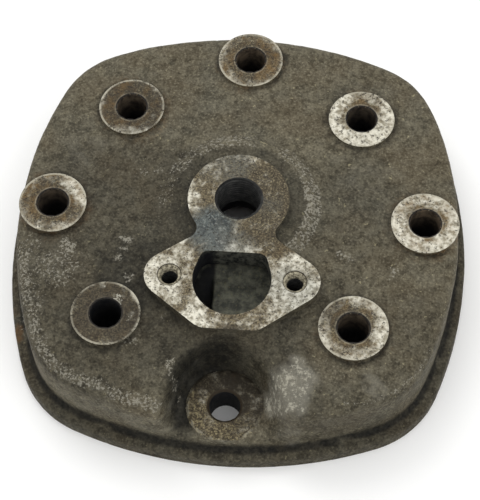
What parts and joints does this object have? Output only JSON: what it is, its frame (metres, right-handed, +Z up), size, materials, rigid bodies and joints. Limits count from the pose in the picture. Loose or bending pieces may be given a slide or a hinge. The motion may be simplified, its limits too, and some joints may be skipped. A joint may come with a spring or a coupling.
{
  "type": "engine cylinder head",
  "caption": "Liquid-cooled two-stroke cylinder head: spark plug seat, coolant outlet flange, stud bosses, water jacket and domed chamber.",
  "frame": {"origin": "centre of the cylinder bore on the gasket face", "axes": "+Z up the bore to the spark plug, -Y to the coolant outlet flange and the recessed stud, +X to the right seen from the outlet"},
  "size_m": [0.1388, 0.1388, 0.0294],
  "materials": {
    "cast_aluminium": "sand-cast, stained and worn, with bright corroded machined faces",
    "insert_steel": "dull stainless",
    "seal_rubber": "satin black"
  },
  "bodies": {
    "root": {"head_casting": "cast_aluminium", "plug_thread_insert": "insert_steel", "outlet_thread_insert_left": "insert_steel", "outlet_thread_insert_right": "insert_steel", "chamber_seal_ring": "seal_rubber", "jacket_seal_ring": "seal_rubber"}
  },
  "joints": []
}
